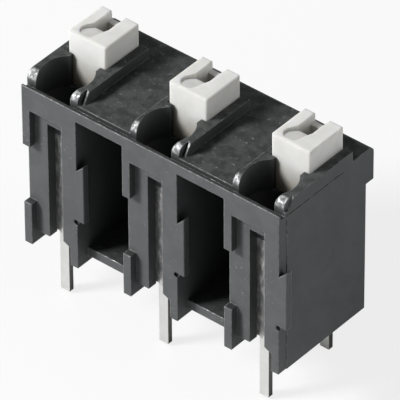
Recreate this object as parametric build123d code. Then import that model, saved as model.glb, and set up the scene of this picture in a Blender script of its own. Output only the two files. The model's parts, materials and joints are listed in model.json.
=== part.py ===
from build123d import *
import math
import os

# Three-pole push-in spring terminal block for a printed circuit board, in millimetres.
# X runs along the row of poles, Y from the front face to the back, Z up from the board.
# The origin lies on the board's surface, in the middle of the solder pins' pattern.
# Depths are measured back from the front face, and heights up from the board.

# Row of poles
POLES = 3
PITCH = 7.5

# Moulded walls
SIDE_WALL = 0.55
FRONT_WALL = 0.65
BACK_WALL = 0.75
RECESS_DEPTH = 0.5
BODY_HEIGHT = 11.5
TOP_PLATE = 0.7
LIP_REACH = 0.68
LIP_HEIGHT = 2.4
LIP_ROUND = 0.45

# Raised collar round each wire entry and button
COLLAR_RISE = 0.7
COLLAR_START = 0.52
COLLAR_NOSE = 0.6
COLLAR_INSET = 0.2
GUARD_WALL = 0.14
GUARD_SETBACK = 0.3
GUARD_LEAN = 0.45
GUARD_SLIT = 0.12
GUARD_SLIT_BACK = 1.35
FRONT_GROOVE = 0.4
GROOVE_DEPTH = 0.3
END_LINE_DROP = 0.22
END_LINE_WIDTH = 0.08
END_LINE_DEPTH = 0.05
END_LINE_LENGTH = 5.2
END_STEP_WIDTH = 0.68
END_STEP_DEPTH = 0.05

# Recess, legs and slot in the front of each pole
BAND_HEIGHT = 1.63
RECESS_FOOT = 0.75
SLOT_LEFT = 0.54
SLOT_RIGHT = 0.93
SLOT_TOP = 9.05
UPPER_LEG_END = 7.2
LOWER_LEG_TOP = 2.95
POST_FOOT = 1.25
POST_CHAMFER = 0.25

# Side tab on the front right corner of each pole
TAB_REACH = 0.52
TAB_BOTTOM = 3.55
TAB_TOP = 7.2
TAB_SLOPE = 0.5
TAB_DEPTH = 0.45
TAB_ROUND = 0.06
TAB_UNDERCUT = 0.2
TAB_UNDERCUT_HEIGHT = 0.3
TAB_UNDERCUT_WIDTH = 0.05
TAB_DIMPLE_RADIUS = 0.2

# Window sill between the poles
SILL_INSET = 0.9
SILL_BOTTOM = 0.43
SILL_HEIGHT = 0.6

# Wire entry
ENTRY_RADIUS = 1.58
ENTRY_CENTRE = 1.85
ENTRY_OFFSET = -0.07
ENTRY_FRONT_WIDTH = 2.56
ENTRY_BREAKTHROUGH = 0.05
THROAT_WIDTH = 2.1
FUNNEL_TOP = 10.0
FUNNEL_BOTTOM = 8.9
WEB_BOTTOM = 8.1
BORE_RADIUS = 0.9
BORE_FRONT_WALL = 0.3

# Push button
BUTTON_WIDTH = 2.8
BUTTON_DEPTH = 3.0
BUTTON_HEAD = 2.2
BUTTON_CLEARANCE = 0.07
BUTTON_BODY_BOTTOM = 8.4
BUTTON_CORNER = 0.12
BUTTON_ROUND = 0.08
FLANGE_HEIGHT = 1.3
FLANGE_REACH = 0.38
NOSE_WIDTH = 2.0
NOSE_DEPTH = 1.3
NOSE_ROUND = 0.35
NOSE_GAP = 0.05
BLADE_SLOT_WIDTH = 1.05
BLADE_SLOT_OFFSET = -0.11
BLADE_POCKET_DEPTH = 1.4
BLADE_POCKET_LENGTH = 1.1
BLADE_POCKET_BACK = 0.42
BLADE_NOTCH_WIDTH = 1.1
BLADE_NOTCH_DROP = 0.6
SCOOP_START = 0.19
SCOOP_RADIUS = 0.56
SCOOP_OFFSET = -0.31
SCOOP_SLOPE = 0.25

# Contact bar with its two solder pins
PIN_ROW_SPACING = 5.5
PIN_WIDTH = 0.66
PIN_LENGTH = 3.5
PIN_TIP = 0.14
CONTACT_THICKNESS = 0.35
CONTACT_WIDTH = 2.3
CONTACT_BOTTOM = 0.7
CONTACT_TOP_GAP = 0.06
CONTACT_REAR_TOP = 5.2
CONTACT_BEND = 0.3

# Clamp spring
SPRING_THICKNESS = 0.25
SPRING_WIDTH = 1.9
SPRING_TOP = 7.6
SPRING_TIP_HEIGHT = 4.2
SPRING_TIP_GAP = 0.06
SPRING_BEND = 0.9

# Worked out from the sizes above
CAVITY_FRONT = RECESS_DEPTH + FRONT_WALL
CAVITY_BACK = CAVITY_FRONT + PIN_ROW_SPACING + CONTACT_THICKNESS
BODY_DEPTH = CAVITY_BACK + BACK_WALL
FRONT_Y = -(CAVITY_FRONT + (PIN_ROW_SPACING + CONTACT_THICKNESS) / 2)
CAVITY_HALF = BUTTON_WIDTH / 2 + BUTTON_CLEARANCE
POLE_HALF = CAVITY_HALF + SIDE_WALL
ROW_HALF = PITCH * (POLES - 1) / 2 + POLE_HALF
COLLAR_TOP = BODY_HEIGHT + COLLAR_RISE
BUTTON_TOP = BODY_HEIGHT + BUTTON_HEAD
PLATE_UNDER = BODY_HEIGHT - TOP_PLATE
POCKET_FRONT = ENTRY_CENTRE + ENTRY_RADIUS - ENTRY_BREAKTHROUGH
BUTTON_FRONT = POCKET_FRONT + BUTTON_CLEARANCE
BUTTON_BACK = BUTTON_FRONT + BUTTON_DEPTH
POCKET_BACK = BUTTON_BACK + BUTTON_CLEARANCE
BORE_CENTRE = CAVITY_FRONT + BORE_FRONT_WALL + BORE_RADIUS
CONTACT_TOP = WEB_BOTTOM - CONTACT_TOP_GAP
SLACK = 1.0


def pole_positions():
    return [PITCH * (i - (POLES - 1) / 2) for i in range(POLES)]


def block(x_range, depth_range, z_range):
    """Box between two X values, two depths behind the front face and two heights."""
    x0, x1 = x_range
    d0, d1 = depth_range
    z0, z1 = z_range
    centre = ((x0 + x1) / 2, FRONT_Y + (d0 + d1) / 2, (z0 + z1) / 2)
    return Pos(*centre) * Box(x1 - x0, d1 - d0, z1 - z0)


def side_profile(points, half_width, x=0.0):
    """Solid whose outline in depth and height is given, spread evenly about X."""
    corners = [(x - half_width, FRONT_Y + d, z) for d, z in points]
    outline = Polyline(*corners, close=True)
    return extrude(make_face(outline), amount=2 * half_width, dir=(1, 0, 0))


def front_profile(points, depth_range):
    """Solid whose outline in X and height is given, between two depths."""
    d0, d1 = depth_range
    corners = [(x, FRONT_Y + d0, z) for x, z in points]
    outline = Polyline(*corners, close=True)
    return extrude(make_face(outline), amount=d1 - d0, dir=(0, 1, 0))


def disc(radius, x, depth, z):
    return Pos(x, FRONT_Y + depth, z) * Circle(radius)


def broadened(circle, width, depth):
    """Circle drawn out to a straight line of a given width, with tangents at its sides."""
    line = Line((-width / 2, depth), (width / 2, depth))
    return make_hull(circle.edges() + line.edges())


def back_shell():
    """Top plate, back wall with its lip, and the sills of the windows."""
    top = block((-ROW_HALF, ROW_HALF), (0, BODY_DEPTH), (PLATE_UNDER, BODY_HEIGHT))
    back = block((-ROW_HALF, ROW_HALF), (CAVITY_BACK, BODY_DEPTH), (0, BODY_HEIGHT))
    lip = block((-ROW_HALF, ROW_HALF), (CAVITY_BACK, BODY_DEPTH + LIP_REACH),
                (BODY_HEIGHT - LIP_HEIGHT, BODY_HEIGHT))
    lip_edge = lip.edges().filter_by(Axis.X).group_by(Axis.Z)[-1].sort_by(Axis.Y)[-1]
    shell = top + back + fillet(lip_edge, LIP_ROUND)
    for x0, x1 in zip(pole_positions()[:-1], pole_positions()[1:]):
        shell += block((x0, x1), (SILL_INSET, BODY_DEPTH),
                       (SILL_BOTTOM, SILL_BOTTOM + SILL_HEIGHT))
    return shell


def collar(x):
    """Raised rim on both sides of a pole's wire entry and button, flush with the row's left end."""
    inset = COLLAR_INSET if x > pole_positions()[0] else 0
    left = x - POLE_HALF + inset
    rim = block((left, x + POLE_HALF), (COLLAR_START, POCKET_BACK), (BODY_HEIGHT, COLLAR_TOP))
    front_edge = rim.edges().filter_by(Axis.X).group_by(Axis.Z)[-1].sort_by(Axis.Y)[0]
    rib = block((left, x - CAVITY_HALF), (COLLAR_START + COLLAR_NOSE, BODY_DEPTH),
                (BODY_HEIGHT, COLLAR_TOP))
    rib_edge = rib.edges().filter_by(Axis.X).group_by(Axis.Z)[-1].sort_by(Axis.Y)[-1]
    return fillet(front_edge, COLLAR_NOSE) + fillet(rib_edge, COLLAR_NOSE)


def guard_lean(x):
    """Cut that leans back the front edge of the guard on the right end of the rim."""
    foot = COLLAR_START + GUARD_SETBACK
    return side_profile([(COLLAR_START - SLACK, BODY_HEIGHT), (foot, BODY_HEIGHT),
                         (foot + GUARD_LEAN, COLLAR_TOP), (foot + GUARD_LEAN, COLLAR_TOP + SLACK),
                         (COLLAR_START - SLACK, COLLAR_TOP + SLACK)],
                        GUARD_WALL / 2, x + POLE_HALF - GUARD_WALL / 2)


def guard_slit(x):
    """Slit between the rim's rounded end and the guard."""
    inner = x + POLE_HALF - GUARD_WALL
    return block((inner - GUARD_SLIT, inner), (COLLAR_START - SLACK, GUARD_SLIT_BACK),
                 (BODY_HEIGHT, COLLAR_TOP + SLACK))


def front_groove():
    """Shallow groove along the top, between the front edge and the rims."""
    return block((-ROW_HALF, ROW_HALF), (COLLAR_START - FRONT_GROOVE, COLLAR_START),
                 (BODY_HEIGHT - GROOVE_DEPTH, BODY_HEIGHT + SLACK))


def end_line():
    """Fine line under the rim on the right end of the row."""
    top = BODY_HEIGHT - END_LINE_DROP
    return block((ROW_HALF - END_LINE_DEPTH, ROW_HALF + SLACK),
                 (COLLAR_START, COLLAR_START + END_LINE_LENGTH), (top - END_LINE_WIDTH, top))


def end_step():
    """Shallow step along the front corner of the right end, below the line."""
    return block((ROW_HALF - END_STEP_DEPTH, ROW_HALF + SLACK), (-SLACK, END_STEP_WIDTH),
                 (-SLACK, BODY_HEIGHT - END_LINE_DROP))


def front_cuts(x):
    """Recess beside the legs, slot to the contact and foot of the right post."""
    left = x - POLE_HALF
    slot_left = x - SLOT_LEFT
    slot_right = x + SLOT_RIGHT
    recess = block((left - SLACK, slot_right), (-SLACK, RECESS_DEPTH),
                   (RECESS_FOOT - SLACK, BODY_HEIGHT - BAND_HEIGHT))
    leg_side = (left - 2 * SLACK, left + SIDE_WALL)
    for z_range in ((UPPER_LEG_END, BODY_HEIGHT), (-2 * SLACK, LOWER_LEG_TOP)):
        recess -= block(leg_side, (-2 * SLACK, 2 * SLACK), z_range)
    wall = (-SLACK, CAVITY_FRONT)
    slot = block((slot_left, slot_right), wall, (-SLACK, SLOT_TOP))
    under = block((x - CAVITY_HALF, slot_left), wall, (-SLACK, RECESS_FOOT))
    foot = front_profile([(slot_left, -SLACK), (slot_left, POST_FOOT + POST_CHAMFER),
                          (slot_right, POST_FOOT + POST_CHAMFER), (x + CAVITY_HALF, POST_FOOT),
                          (x + CAVITY_HALF, -SLACK)], wall)
    return recess + slot + under + foot


def cavity(x):
    """Space for the contact, spring and button, open at the bottom."""
    sides = (x - CAVITY_HALF, x + CAVITY_HALF)
    chamber = block(sides, (CAVITY_FRONT, CAVITY_BACK), (-SLACK, WEB_BOTTOM))
    shaft = block(sides, (POCKET_FRONT, CAVITY_BACK), (WEB_BOTTOM - SLACK, PLATE_UNDER))
    pocket = block(sides, (POCKET_FRONT, POCKET_BACK), (PLATE_UNDER - SLACK, COLLAR_TOP + SLACK))
    return chamber + shaft + pocket


def wire_entry(x):
    """Entry with a broad front, open to the button at its back, and a funnel to the wire's bore."""
    mouth_x = x + ENTRY_OFFSET
    funnel = loft([disc(BORE_RADIUS, x, BORE_CENTRE, FUNNEL_BOTTOM),
                   disc(ENTRY_RADIUS, mouth_x, ENTRY_CENTRE, FUNNEL_TOP)])
    outline = broadened(Circle(ENTRY_RADIUS), ENTRY_FRONT_WIDTH, COLLAR_START - ENTRY_CENTRE)
    mouth = extrude(Pos(mouth_x, FRONT_Y + ENTRY_CENTRE, FUNNEL_TOP) * outline,
                    amount=COLLAR_TOP - FUNNEL_TOP + SLACK)
    throat = block((x - THROAT_WIDTH / 2, x + THROAT_WIDTH / 2), (ENTRY_CENTRE, POCKET_BACK),
                   (FUNNEL_TOP, COLLAR_TOP + SLACK))
    front_wall = block((x - POLE_HALF, x + POLE_HALF), (-SLACK, COLLAR_START),
                       (FUNNEL_BOTTOM, BODY_HEIGHT - GROOVE_DEPTH))
    bore = extrude(disc(BORE_RADIUS, x, BORE_CENTRE, WEB_BOTTOM - SLACK),
                   amount=FUNNEL_BOTTOM - WEB_BOTTOM + SLACK)
    return mouth + funnel - front_wall + throat + bore


def side_tab(x):
    """Coding tab with a sloped top on the right of a pole."""
    root = x + POLE_HALF - SIDE_WALL
    right = x + POLE_HALF
    tab = front_profile([(root, TAB_BOTTOM), (right + TAB_REACH, TAB_BOTTOM),
                         (right + TAB_REACH, TAB_TOP + TAB_SLOPE), (right, TAB_TOP),
                         (root, TAB_TOP)], (0, TAB_DEPTH))
    corner = tab.edges().filter_by(Axis.Z).group_by(Axis.X)[-1].sort_by(Axis.Y)[0]
    return fillet(corner, TAB_ROUND)


def tab_undercut(x):
    """Small undercut below the tab, ending in a round dimple."""
    right = x + POLE_HALF
    middle = TAB_BOTTOM - TAB_UNDERCUT_HEIGHT / 2
    groove = block((right - TAB_UNDERCUT_WIDTH, right + TAB_REACH + SLACK),
                   (-SLACK, TAB_UNDERCUT), (TAB_BOTTOM - TAB_UNDERCUT_HEIGHT, TAB_BOTTOM))
    dimple = Pos(right - TAB_UNDERCUT_WIDTH, FRONT_Y, middle) * Rot(90, 0, 0)
    return groove + dimple * Cylinder(TAB_DIMPLE_RADIUS, 2 * TAB_UNDERCUT)


def housing():
    body = back_shell()
    for x in pole_positions():
        body += block((x - POLE_HALF, x + POLE_HALF), (0, BODY_DEPTH), (0, BODY_HEIGHT))
        body += collar(x)
    body -= end_step()
    body -= end_line()
    body -= front_groove()
    for x in pole_positions()[:-1]:
        body -= guard_slit(x)
    for x in pole_positions():
        body += side_tab(x)
        body -= guard_lean(x)
        body -= cavity(x)
        body -= wire_entry(x)
        body -= front_cuts(x)
        body -= tab_undercut(x)
    return body


def push_button(x):
    """Button with a blade slot in its head and a nose that presses on the spring."""
    sides = (x - BUTTON_WIDTH / 2, x + BUTTON_WIDTH / 2)
    head = block(sides, (BUTTON_FRONT, BUTTON_BACK), (BUTTON_BODY_BOTTOM, BUTTON_TOP))
    head = fillet(head.edges().filter_by(Axis.Z), BUTTON_CORNER)
    head = fillet(head.faces().sort_by(Axis.Z)[-1].edges(), BUTTON_ROUND)
    flange_top = PLATE_UNDER - BUTTON_CLEARANCE
    flange = block(sides, (BUTTON_BACK - BUTTON_CORNER, BUTTON_BACK + FLANGE_REACH),
                   (flange_top - FLANGE_HEIGHT, flange_top))
    nose = block((x - NOSE_WIDTH / 2, x + NOSE_WIDTH / 2),
                 (BUTTON_FRONT, BUTTON_FRONT + NOSE_DEPTH), (nose_bottom(), BUTTON_BODY_BOTTOM))
    nose = fillet(nose.edges().filter_by(Axis.X).group_by(Axis.Z)[0], NOSE_ROUND)
    return head + flange + nose - blade_slot(x + BLADE_SLOT_OFFSET) - scoop(x)


def blade_slot(x):
    """Deep pocket for a screwdriver blade, with a notch through the wall behind it."""
    half = BLADE_SLOT_WIDTH / 2
    notch_half = BLADE_NOTCH_WIDTH / 2
    back = BUTTON_BACK - BLADE_POCKET_BACK
    pocket = block((x - half, x + half), (back - BLADE_POCKET_LENGTH, back),
                   (BUTTON_TOP - BLADE_POCKET_DEPTH, BUTTON_TOP + SLACK))
    notch = block((x - notch_half, x + notch_half), (back, BUTTON_BACK + SLACK),
                  (BUTTON_TOP - BLADE_NOTCH_DROP, BUTTON_TOP + SLACK))
    return pocket + notch


def scoop(x):
    """Sloped lead-in with a round front end, which guides the blade into its pocket."""
    back = BUTTON_BACK - BLADE_POCKET_BACK - BLADE_POCKET_LENGTH
    front = BUTTON_FRONT + SCOOP_START
    centre = front + SCOOP_RADIUS
    drop = SCOOP_SLOPE * (back - front)
    wedge = side_profile([(front, BUTTON_TOP), (back, BUTTON_TOP - drop), (back, BUTTON_TOP + SLACK),
                          (front, BUTTON_TOP + SLACK)], BUTTON_WIDTH, x)
    round_end = Pos(SCOOP_OFFSET, 0) * Circle(SCOOP_RADIUS)
    outline = broadened(round_end, BLADE_SLOT_WIDTH, back - centre)
    place = Pos(x + BLADE_SLOT_OFFSET, FRONT_Y + centre, BUTTON_TOP - drop - SLACK)
    return wedge & extrude(place * outline, amount=drop + 3 * SLACK)


def contact_bar(x):
    """Stamped and bent bar that ends in two solder pins."""
    sides = (x - CONTACT_WIDTH / 2, x + CONTACT_WIDTH / 2)
    front_back = CAVITY_FRONT + CONTACT_THICKNESS
    rear_front = CAVITY_BACK - CONTACT_THICKNESS
    bend = [(CAVITY_FRONT, CONTACT_TOP), (CAVITY_FRONT, CONTACT_BOTTOM),
            (CAVITY_BACK, CONTACT_BOTTOM), (CAVITY_BACK, CONTACT_REAR_TOP),
            (rear_front, CONTACT_REAR_TOP), (rear_front, CONTACT_BOTTOM + CONTACT_THICKNESS),
            (front_back, CONTACT_BOTTOM + CONTACT_THICKNESS), (front_back, CONTACT_TOP)]
    bar = side_profile(bend, CONTACT_WIDTH / 2, x)
    bends = bar.edges().filter_by(Axis.X).group_by(Axis.Z)[0]
    bar = fillet(bends, CONTACT_BEND)
    for d0 in (CAVITY_FRONT, rear_front):
        pin = block((x - PIN_WIDTH / 2, x + PIN_WIDTH / 2), (d0, d0 + CONTACT_THICKNESS),
                    (-PIN_LENGTH, CONTACT_BOTTOM + CONTACT_THICKNESS))
        pin = chamfer(pin.faces().sort_by(Axis.Z)[0].edges(), PIN_TIP)
        bar += pin
    return bar


def spring_run():
    """Depth and height of the corners of the spring's middle line."""
    back = CAVITY_BACK - CONTACT_THICKNESS - SPRING_THICKNESS / 2
    foot = CONTACT_BOTTOM + CONTACT_THICKNESS
    tip = CAVITY_FRONT + CONTACT_THICKNESS + SPRING_THICKNESS / 2 + SPRING_TIP_GAP
    return (back, foot), (back, SPRING_TOP), (tip, SPRING_TIP_HEIGHT)


def nose_bottom():
    """Height at which the nose's rounded heel just clears the spring's clamping leg."""
    (back, _), (_, top), (tip, tip_height) = spring_run()
    slope = (top - tip_height) / (back - tip)
    heel = BUTTON_FRONT + NOSE_DEPTH - NOSE_ROUND
    reach = NOSE_ROUND + NOSE_GAP + SPRING_THICKNESS / 2
    return tip_height + (heel - tip) * slope + reach * math.hypot(1, slope) - NOSE_ROUND


def clamp_spring(x):
    """Leaf spring with one bend, whose free leg presses the wire on the contact."""
    points = [(x, FRONT_Y + d, z) for d, z in spring_run()]
    path = FilletPolyline(*points, radius=SPRING_BEND)
    section = Plane(origin=points[0], x_dir=(1, 0, 0), z_dir=(0, 0, 1))
    return sweep(section * Rectangle(SPRING_WIDTH, SPRING_THICKNESS), path=path)


def save(part, name):
    export_step(part, os.path.join("parts", name + ".step"))


os.makedirs("parts", exist_ok=True)
save(housing(), "housing")
for number, pole_x in enumerate(pole_positions(), start=1):
    save(push_button(pole_x), f"push_button_{number}")
    save(contact_bar(pole_x), f"contact_bar_{number}")
    save(clamp_spring(pole_x), f"clamp_spring_{number}")
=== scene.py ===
import json
import math

import bpy
from mathutils import Matrix, Vector

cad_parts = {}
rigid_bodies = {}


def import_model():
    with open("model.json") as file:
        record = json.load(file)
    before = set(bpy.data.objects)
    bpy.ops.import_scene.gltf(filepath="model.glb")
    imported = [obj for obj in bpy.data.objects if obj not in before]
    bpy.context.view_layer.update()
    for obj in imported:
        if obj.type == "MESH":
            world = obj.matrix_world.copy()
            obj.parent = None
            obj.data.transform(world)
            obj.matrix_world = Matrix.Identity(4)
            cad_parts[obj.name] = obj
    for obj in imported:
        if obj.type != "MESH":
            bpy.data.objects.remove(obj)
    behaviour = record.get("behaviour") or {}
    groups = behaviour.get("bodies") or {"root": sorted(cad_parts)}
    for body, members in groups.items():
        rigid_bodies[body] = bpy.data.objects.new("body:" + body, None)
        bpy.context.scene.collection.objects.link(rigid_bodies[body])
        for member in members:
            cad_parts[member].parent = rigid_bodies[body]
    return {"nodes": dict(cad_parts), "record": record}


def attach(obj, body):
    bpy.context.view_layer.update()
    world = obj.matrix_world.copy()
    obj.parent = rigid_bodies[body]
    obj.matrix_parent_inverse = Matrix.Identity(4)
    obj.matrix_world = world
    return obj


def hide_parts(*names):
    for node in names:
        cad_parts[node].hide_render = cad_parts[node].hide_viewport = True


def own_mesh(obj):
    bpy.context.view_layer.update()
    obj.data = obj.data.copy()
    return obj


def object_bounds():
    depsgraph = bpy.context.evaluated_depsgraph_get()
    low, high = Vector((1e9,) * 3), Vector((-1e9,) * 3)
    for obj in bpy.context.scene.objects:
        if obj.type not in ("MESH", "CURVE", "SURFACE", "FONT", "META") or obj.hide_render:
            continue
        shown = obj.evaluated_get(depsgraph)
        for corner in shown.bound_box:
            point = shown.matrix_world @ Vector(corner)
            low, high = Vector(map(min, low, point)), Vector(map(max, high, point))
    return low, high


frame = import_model()
CAD_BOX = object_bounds()

# Lengths are in metres and MM turns millimetres into them.
# Angles are in degrees, and colours are linear red, green and blue.
MM = 0.001

# Camera, placed by matching the object's corners with those in the photograph
VIEW_AZIMUTH = 39.884
VIEW_ELEVATION = 38.878
VIEW_ROLL = -0.313
VIEW_TARGET = Vector((-0.02, -0.05, 6.0)) * MM
VIEW_SHIFT = Vector((-0.309, 0.481)) * MM
VIEW_DISTANCE = 391.133 * MM
FOCAL_TO_FRAME = 6828.178 / 400
SENSOR = 36.0

# Azimuth, elevation, side in metres and level of each lamp. Level 1 shows a facing colour as written.
LAMPS = {
    "key": (-40, 36, 0.13, 1.28),
    "front_fill": (-5, 8, 0.30, 0.03),
    "side_fill": (104, 25, 0.30, 0.22),
}

# Studio
FLOOR_SIZE = 4.0
FLOOR_COLOUR = (0.80, 0.80, 0.80, 1)
FLOOR_GLOW = 0.8
WORLD_STRENGTH = 0.17
LAMP_DISTANCE = 0.5

# Heights in millimetres above the board where the finish, the painted highlight and the painted shade
# change
EDGE_HIGHLIGHT_BROKEN_FROM = 1.3
BAR_SPECKLED_FROM = 0.7
BAR_SPECKLED_FADE = 0.3
BUTTON_SUNK_BELOW = 11.8
BUTTON_SUNK_FADE = 0.6

# Radius that the shading gives to sharp edges
HOUSING_ROUNDING = 0.09 * MM
BUTTON_ROUNDING = 0.16 * MM
METAL_ROUNDING = 0.05 * MM

# How far away a wall still darkens a surface with painted shade
HOUSING_REACH = 6 * MM
BUTTON_REACH = 4 * MM
METAL_REACH = 1.5 * MM

# Depth of the relief in the surfaces
MOULD_GRAIN = 0.010 * MM
SPARKLE_RELIEF = 0.05 * MM
BUTTON_GRAIN = 0.002 * MM
STREAK_RELIEF = 0.002 * MM
PLATING_RELIEF = 0.006 * MM

# Depth to which light enters the buttons' plastic, in red, green and blue
BUTTON_LIGHT_DEPTH = (0.40 * MM, 0.36 * MM, 0.28 * MM)

# Stretch of the streaks in the metal: up the contact bars, and back and up the springs
ALONG_BAR = (1, 1, 0.12)
ALONG_SPECKLE = (1, 1, 0.35)
ALONG_SPRING = (1, 0.2, 0.2)

# Values of a noise between which it changes softly
SOFT = (0.3, 0.7)

# Colours
SIDE_DARK = (0.085, 0.089, 0.091, 1)
SIDE_LIGHT = (0.102, 0.106, 0.108, 1)
TOP_DARK = (0.045, 0.050, 0.049, 1)
TOP_LIGHT = (0.078, 0.082, 0.080, 1)
TOP_PAINTED_GLINT = (0.21, 0.215, 0.21, 1)
SIDE_DUST = (0.22, 0.225, 0.225, 1)
HOUSING_WEAR_AND_HIGHLIGHT = (0.52, 0.525, 0.53, 1)
HOUSING_PAINTED_SHADE = (0.032, 0.035, 0.034, 1)
BUTTON_SHADE = (0.69, 0.69, 0.665, 1)
BUTTON_LIGHT = (0.76, 0.76, 0.745, 1)
BUTTON_EDGE_PAINTED_SHADE = (0.62, 0.62, 0.60, 1)
BUTTON_PAINTED_SHADE = (0.24, 0.22, 0.17, 1)
TIN_DARK = (0.79, 0.79, 0.775, 1)
TIN_LIGHT = (0.90, 0.90, 0.88, 1)
METAL_PAINTED_SHADE = (0.05, 0.05, 0.05, 1)
METAL_SPECKLE_DARK = (0.36, 0.365, 0.36, 1)
SHEARED_SIDE_SHADE = (0.15, 0.145, 0.14, 1)
STEEL_DARK = (0.38, 0.37, 0.36, 1)
STEEL_LIGHT = (0.58, 0.57, 0.56, 1)


class Shader:
    """A Principled material whose texture coordinates are the object's own, in millimetres."""

    def __init__(self, name):
        self.material = bpy.data.materials.new(name)
        self.material.use_nodes = True
        self.tree = self.material.node_tree
        self.surface = self.tree.nodes["Principled BSDF"]
        coordinates = self.add("ShaderNodeTexCoord")
        scale = self.add("ShaderNodeVectorMath", operation="SCALE")
        scale.inputs["Scale"].default_value = 1 / MM
        self.link(coordinates.outputs["Object"], scale.inputs[0])
        self.place = scale.outputs[0]

    def add(self, kind, **settings):
        node = self.tree.nodes.new(kind)
        for key, value in settings.items():
            setattr(node, key, value)
        return node

    def link(self, source, target):
        self.tree.links.new(source, target)

    def stretched(self, x, y, z):
        """The coordinates with each axis scaled by itself, to draw out a texture."""
        node = self.add("ShaderNodeVectorMath", operation="MULTIPLY")
        node.inputs[1].default_value = (x, y, z)
        self.link(self.place, node.inputs[0])
        return node.outputs[0]

    def noise(self, scale, detail=2.0, roughness=0.5, place=None):
        """Noise with scale lumps in a millimetre."""
        node = self.add("ShaderNodeTexNoise")
        node.inputs["Scale"].default_value = scale
        node.inputs["Detail"].default_value = detail
        node.inputs["Roughness"].default_value = roughness
        self.link(place or self.place, node.inputs["Vector"])
        return node.outputs["Fac"]

    def ramp(self, value, low, high, out_low=0.0, out_high=1.0):
        """value from low to high becomes out_low to out_high, smoothly and clamped."""
        node = self.add("ShaderNodeMapRange", interpolation_type="SMOOTHSTEP")
        node.inputs["From Min"].default_value = low
        node.inputs["From Max"].default_value = high
        node.inputs["To Min"].default_value = out_low
        node.inputs["To Max"].default_value = out_high
        self.link(value, node.inputs["Value"])
        return node.outputs["Result"]

    def marks(self, scale, low, high, between=(0.0, 1.0), detail=3.0, roughness=0.5):
        """Noise whose values from low to high run between two others, such as none and full."""
        return self.ramp(self.noise(scale, detail, roughness), low, high, *between)

    def maths(self, operation, a, b):
        node = self.add("ShaderNodeMath", operation=operation, use_clamp=operation == "MULTIPLY")
        for socket, value in zip(node.inputs, (a, b)):
            if isinstance(value, (int, float)):
                socket.default_value = value
            else:
                self.link(value, socket)
        return node.outputs[0]

    def mix(self, factor, a, b):
        """Colour a where factor is 0 and b where it is 1."""
        node = self.add("ShaderNodeMix", data_type="RGBA")
        self.link(factor, node.inputs["Factor"])
        for socket, value in zip((node.inputs[6], node.inputs[7]), (a, b)):
            if isinstance(value, tuple):
                socket.default_value = value
            else:
                self.link(value, socket)
        return node.outputs[2]

    def height(self):
        """Height above the board in millimetres."""
        split = self.add("ShaderNodeSeparateXYZ")
        self.link(self.place, split.inputs[0])
        return split.outputs["Z"]

    def facing(self, axis):
        """1 on faces square to an axis, on either side, and 0 on the rest."""
        geometry = self.add("ShaderNodeNewGeometry")
        split = self.add("ShaderNodeSeparateXYZ")
        self.link(geometry.outputs["True Normal"], split.inputs[0])
        return self.ramp(self.maths("ABSOLUTE", split.outputs[axis], 0), 0.6, 0.9)

    def hollow(self, distance, shut, wide, depth, own=False):
        """depth where walls within distance leave under shut of the view open, and 0 from wide on.

        With own, only the piece's own walls count.
        """
        node = self.add("ShaderNodeAmbientOcclusion", samples=8, only_local=own)
        node.inputs["Distance"].default_value = distance
        return self.ramp(node.outputs["AO"], shut, wide, depth, 0.0)

    def towards_key(self, normal):
        """1 where a normal points halfway between the front and the top, as on a rounded front edge."""
        dot = self.add("ShaderNodeVectorMath", operation="DOT_PRODUCT")
        dot.inputs[1].default_value = (0, -math.sqrt(0.5), math.sqrt(0.5))
        self.link(normal, dot.inputs[0])
        return self.ramp(dot.outputs["Value"], 0.76, 0.96)

    def round_edges(self, radius):
        """A normal that rounds every edge, and how near a convex or hollow edge lies, from 0 to 1."""
        bevel = self.add("ShaderNodeBevel", samples=6)
        bevel.inputs["Radius"].default_value = radius
        geometry = self.add("ShaderNodeNewGeometry")
        dot = self.add("ShaderNodeVectorMath", operation="DOT_PRODUCT")
        self.link(bevel.outputs["Normal"], dot.inputs[0])
        self.link(geometry.outputs["Normal"], dot.inputs[1])
        return bevel.outputs["Normal"], self.ramp(dot.outputs["Value"], 0.995, 0.85)

    def bump(self, height, depth, normal):
        node = self.add("ShaderNodeBump")
        node.inputs["Distance"].default_value = depth
        self.link(height, node.inputs["Height"])
        self.link(normal, node.inputs["Normal"])
        return node.outputs["Normal"]

    def finish(self, colour, roughness, normal):
        self.link(colour, self.surface.inputs["Base Color"])
        self.link(roughness, self.surface.inputs["Roughness"])
        self.link(normal, self.surface.inputs["Normal"])
        return self.material


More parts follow.
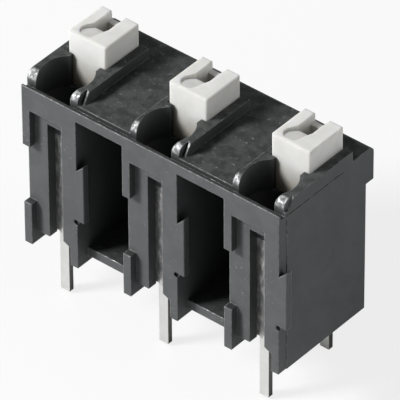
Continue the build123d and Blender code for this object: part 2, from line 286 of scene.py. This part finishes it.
def housing_plastic():
    """Dark grey filled plastic, eroded and mottled on top, smoother upright and worn on its edges, with
    painted glints on top, painted highlights on edges facing the key and painted shade in hollows.
    """
    s = Shader("housing_plastic")
    up = s.facing("Z")
    rounded, edge = s.round_edges(HOUSING_ROUNDING)
    cloud = s.noise(0.9, detail=4.0, roughness=0.6)
    sparkle = s.noise(3.6, detail=3.0, roughness=0.7)

    side = s.mix(s.ramp(cloud, *SOFT), SIDE_DARK, SIDE_LIGHT)
    dust = s.maths("MULTIPLY", s.marks(5.5, 0.62, 0.76), s.marks(0.6, 0.48, 0.62, detail=2.0))
    side = s.mix(s.maths("MULTIPLY", dust, s.facing("Y")), side, SIDE_DUST)
    top = s.mix(s.marks(1.7, 0.35, 0.65), TOP_DARK, TOP_LIGHT)
    # Pale specks on the top are painted glints on its grain.
    top = s.mix(s.ramp(sparkle, 0.60, 0.74), top, TOP_PAINTED_GLINT)
    colour = s.mix(up, side, top)

    # Edges are worn pale, and get a painted highlight where they face the key, as the rounded bosses
    # do. Above the sills the painted highlight is broken up.
    worn = s.maths("MULTIPLY", edge, s.marks(3.0, 0.35, 0.75, (0.1, 0.6)))
    glint = s.maths("MULTIPLY", s.towards_key(rounded), s.marks(4.0, 0.40, 0.60, (0.2, 1.0)))
    broken = s.marks(1.1, 0.50, 0.66, (0.75, 0.0), roughness=0.7)
    broken = s.maths("MULTIPLY", broken, s.ramp(s.height(), EDGE_HIGHLIGHT_BROKEN_FROM, 2 * EDGE_HIGHLIGHT_BROKEN_FROM))
    glint = s.maths("MULTIPLY", glint, s.maths("SUBTRACT", 1.0, s.maths("MULTIPLY", edge, broken)))
    colour = s.mix(s.maths("MAXIMUM", worn, glint), colour, HOUSING_WEAR_AND_HIGHLIGHT)
    # Painted shade darkens the hollows, such as the windows, the wire holes and the slots.
    colour = s.mix(s.hollow(HOUSING_REACH, 0.20, 0.76, 0.95, own=True), colour, HOUSING_PAINTED_SHADE)

    normal = s.bump(s.noise(9.0, detail=3.0, roughness=0.65), MOULD_GRAIN, rounded)
    rough_places = s.maths("MULTIPLY", sparkle, s.maths("MAXIMUM", up, glint))
    normal = s.bump(rough_places, SPARKLE_RELIEF, normal)
    s.link(s.ramp(glint, 0.0, 1.0, 0.12, 0.9), s.surface.inputs["Specular IOR Level"])
    dull = s.ramp(cloud, 0.25, 0.75, 0.36, 0.50)
    return s.finish(colour, s.maths("MULTIPLY", dull, s.ramp(glint, 0.0, 1.0, 1.0, 0.5)), normal)


def button_plastic():
    """Off-white plastic with a soft sheen, painted shade in its pocket and down by the housing, and
    edges dimmed by painted shade where they face the key.
    """
    s = Shader("button_plastic")
    rounded = s.round_edges(BUTTON_ROUNDING)[0]
    cloud = s.noise(0.7, detail=3.0)
    colour = s.mix(s.ramp(cloud, *SOFT), BUTTON_SHADE, BUTTON_LIGHT)
    # Painted shade dims the rounded edges where they face the key, toning down their highlight.
    colour = s.mix(s.towards_key(rounded), colour, BUTTON_EDGE_PAINTED_SHADE)
    # Painted shade in the pocket and down by the housing, at full strength low down and half strength
    # higher up.
    sunk_to = BUTTON_SUNK_BELOW + BUTTON_SUNK_FADE
    sunk = s.ramp(s.height(), BUTTON_SUNK_BELOW, sunk_to, 1.0, 0.5)
    shaded = s.maths("MULTIPLY", s.hollow(BUTTON_REACH, 0.10, 0.60, 1.0), sunk)
    colour = s.mix(shaded, colour, BUTTON_PAINTED_SHADE)
    normal = s.bump(s.noise(14.0), BUTTON_GRAIN, rounded)
    s.surface.inputs["Subsurface Weight"].default_value = 0.45
    s.surface.inputs["Subsurface Radius"].default_value = BUTTON_LIGHT_DEPTH
    s.surface.inputs["Subsurface Scale"].default_value = 1.0
    s.surface.inputs["Specular IOR Level"].default_value = 0.1
    return s.finish(colour, s.ramp(cloud, *SOFT, 0.60, 0.70), normal)


def metal(name, dark, light, smooth, rough, drawn, speckled_above=None):
    """Rolled sheet metal with streaks drawn along it, a cloudy plating, sheared sides painted dark as
    shade and painted shade in its hollows.

    smooth and rough are the limits of its roughness, and its last argument is a height in millimetres
    above which the colour turns darker and speckled.
    """
    s = Shader(name)
    s.surface.inputs["Metallic"].default_value = 1.0
    rounded, edge = s.round_edges(METAL_ROUNDING)
    streaks = s.noise(6.0, detail=3.0, place=s.stretched(*drawn))
    cloud = s.noise(1.6, detail=4.0, roughness=0.65)
    both = s.maths("MULTIPLY", s.ramp(streaks, 0.2, 0.7, 0.6, 1.0), s.ramp(cloud, 0.3, 0.65, 0.6, 1.0))
    colour = s.mix(both, dark, light)
    colour = s.mix(s.maths("MULTIPLY", edge, 0.5), colour, light)
    # The sheared sides, square to X, are painted dark as shade.
    colour = s.mix(s.facing("X"), colour, SHEARED_SIDE_SHADE)
    # Painted shade darkens the metal in its hollows, such as the contact bars in their slots.
    colour = s.mix(s.hollow(METAL_REACH, 0.30, 0.60, 0.9), colour, METAL_PAINTED_SHADE)
    # Above the given height the colour turns darker and speckled.
    if speckled_above is not None:
        speckle_noise = s.noise(3.4, detail=3.0, roughness=0.6, place=s.stretched(*ALONG_SPECKLE))
        speckles = s.mix(s.ramp(speckle_noise, 0.38, 0.72), METAL_SPECKLE_DARK, light)
        dull = s.ramp(s.height(), speckled_above, speckled_above + BAR_SPECKLED_FADE)
        colour = s.mix(dull, colour, speckles)
    normal = s.bump(streaks, STREAK_RELIEF, rounded)
    normal = s.bump(cloud, PLATING_RELIEF, normal)
    return s.finish(colour, s.ramp(cloud, *SOFT, smooth, rough), normal)


def paint_nodes():
    """Give every CAD node the finish of its kind, found by its name without its number."""
    tin = metal("tinned_contact", TIN_DARK, TIN_LIGHT, 0.30, 0.45, ALONG_BAR, BAR_SPECKLED_FROM)
    steel = metal("spring_steel", STEEL_DARK, STEEL_LIGHT, 0.25, 0.40, ALONG_SPRING)
    finishes = {
        "housing": housing_plastic(),
        "push_button": button_plastic(),
        "contact_bar": tin,
        "clamp_spring": steel,
    }
    for name, node in frame["nodes"].items():
        kind = name.rstrip("_0123456789")
        for slot in node.material_slots:
            slot.material = finishes[kind]


def squashed_springs():
    """Copies of the clamp springs, each hung on its joint's parent body in place of the hidden spring.
    They do not bend at their loops.
    """
    for joint in frame["record"]["behaviour"]["joints"]:
        for spring in joint["deforming_nodes"]:
            name = spring["node"]
            node = frame["nodes"][name]
            piece = bpy.data.objects.new("squashed_" + name, node.data.copy())
            bpy.context.scene.collection.objects.link(piece)
            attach(piece, joint["parent"])
            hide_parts(name)
            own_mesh(piece)


def floor():
    """Pale floor at the tips of the solder pins. It looks a little brighter than it lights."""
    low = CAD_BOX[0][2]
    half = FLOOR_SIZE / 2
    corners = [(-half, -half, low), (half, -half, low), (half, half, low), (-half, half, low)]
    mesh = bpy.data.meshes.new("floor")
    mesh.from_pydata(corners, [], [(0, 1, 2, 3)])
    sheet = bpy.data.objects.new("floor", mesh)
    bpy.context.scene.collection.objects.link(sheet)
    s = Shader("floor_paper")
    s.surface.inputs["Roughness"].default_value = 0.9
    s.surface.inputs["Specular IOR Level"].default_value = 0.1
    s.surface.inputs["Base Color"].default_value = FLOOR_COLOUR
    glow = s.add("ShaderNodeEmission")
    rays = s.add("ShaderNodeLightPath")
    glowing = s.maths("MULTIPLY", rays.outputs["Is Camera Ray"], FLOOR_GLOW)
    blend = s.add("ShaderNodeMixShader")
    s.link(glowing, blend.inputs[0])
    s.link(s.surface.outputs[0], blend.inputs[1])
    s.link(glow.outputs[0], blend.inputs[2])
    s.link(blend.outputs[0], s.tree.nodes["Material Output"].inputs[0])
    mesh.materials.append(s.material)


def towards(azimuth, elevation):
    """Unit vector to a place round the object. Azimuth 0 is in front and 90 on the right."""
    a = math.radians(azimuth)
    e = math.radians(elevation)
    return Vector((math.sin(a) * math.cos(e), -math.cos(a) * math.cos(e), math.sin(e)))


def lamp(name, azimuth, elevation, size, level):
    """Square soft light aimed at the object."""
    light = bpy.data.lights.new(name, "AREA")
    light.size = size
    light.energy = level * (math.pi * LAMP_DISTANCE) ** 2
    place = bpy.data.objects.new(name, light)
    direction = towards(azimuth, elevation)
    place.location = VIEW_TARGET + direction * LAMP_DISTANCE
    place.rotation_euler = direction.to_track_quat("Z", "Y").to_euler()
    bpy.context.scene.collection.objects.link(place)


def studio():
    scene = bpy.context.scene
    world = bpy.data.worlds.new("studio")
    world.use_nodes = True
    background = world.node_tree.nodes["Background"]
    background.inputs["Color"].default_value = (1, 1, 1, 1)
    background.inputs["Strength"].default_value = WORLD_STRENGTH
    scene.world = world
    scene.view_settings.view_transform = "Standard"
    for name, settings in LAMPS.items():
        lamp(name, *settings)
    floor()


def camera():
    back = towards(VIEW_AZIMUTH, VIEW_ELEVATION)
    right = Vector((0, 0, 1)).cross(back).normalized()
    up = back.cross(right)
    roll = math.radians(VIEW_ROLL)
    across = right * math.cos(roll) + up * math.sin(roll)
    upward = up * math.cos(roll) - right * math.sin(roll)
    lens = bpy.data.cameras.new("camera")
    lens.sensor_width = SENSOR
    lens.lens = SENSOR * FOCAL_TO_FRAME
    lens.clip_start = 0.01
    place = bpy.data.objects.new("camera", lens)
    turn = Matrix((across, upward, back)).transposed().to_4x4()
    shift = across * VIEW_SHIFT.x + upward * VIEW_SHIFT.y
    place.matrix_world = Matrix.Translation(VIEW_TARGET - shift + back * VIEW_DISTANCE) @ turn
    bpy.context.scene.collection.objects.link(place)
    bpy.context.scene.camera = place


paint_nodes()
squashed_springs()
studio()
camera()
